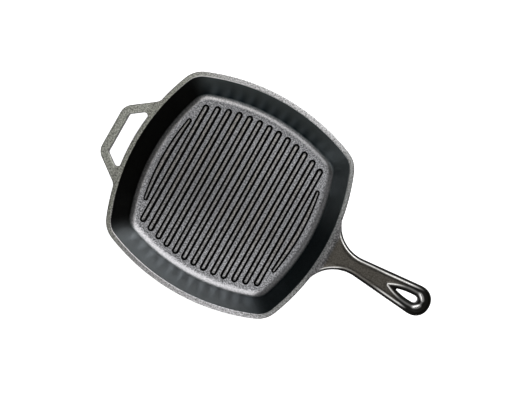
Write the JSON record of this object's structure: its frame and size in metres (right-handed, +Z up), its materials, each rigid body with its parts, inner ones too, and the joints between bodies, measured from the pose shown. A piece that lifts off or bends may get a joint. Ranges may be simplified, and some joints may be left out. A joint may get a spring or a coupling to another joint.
{
  "type": "grill pan",
  "caption": "Square cast-iron grill pan with bulging sides, raised ribs across its floor, a long handle with a teardrop hanging eye and a helper loop opposite it.",
  "frame": {"origin": "middle of the base's flat underside, where the pan stands", "axes": "+X along the handle, +Y across the pan along its ribs, +Z up out of the mouth"},
  "size_m": [0.455, 0.28, 0.0593],
  "materials": {
    "pan_iron": "seasoned black iron with a fine sand-cast grain",
    "rib_iron": "seasoned black iron, a little browner on the crests",
    "handle_iron": "seasoned black iron, satin, with polished edges"
  },
  "bodies": {
    "root": {"pan_floor": "pan_iron", "pan_wall": "pan_iron", "pan_rim": "pan_iron", "loop_arm_left": "pan_iron", "loop_bar": "pan_iron", "loop_arm_right": "pan_iron", "rib_01": "rib_iron", "rib_02": "rib_iron", "rib_03": "rib_iron", "rib_04": "rib_iron", "rib_05": "rib_iron", "rib_06": "rib_iron", "rib_07": "rib_iron", "rib_08": "rib_iron", "rib_09": "rib_iron", "rib_10": "rib_iron", "rib_11": "rib_iron", "rib_12": "rib_iron", "rib_13": "rib_iron", "rib_loop_end": "rib_iron", "rib_handle_end": "rib_iron", "handle_root": "handle_iron", "handle_shank": "handle_iron", "handle_eye": "handle_iron"}
  },
  "joints": []
}
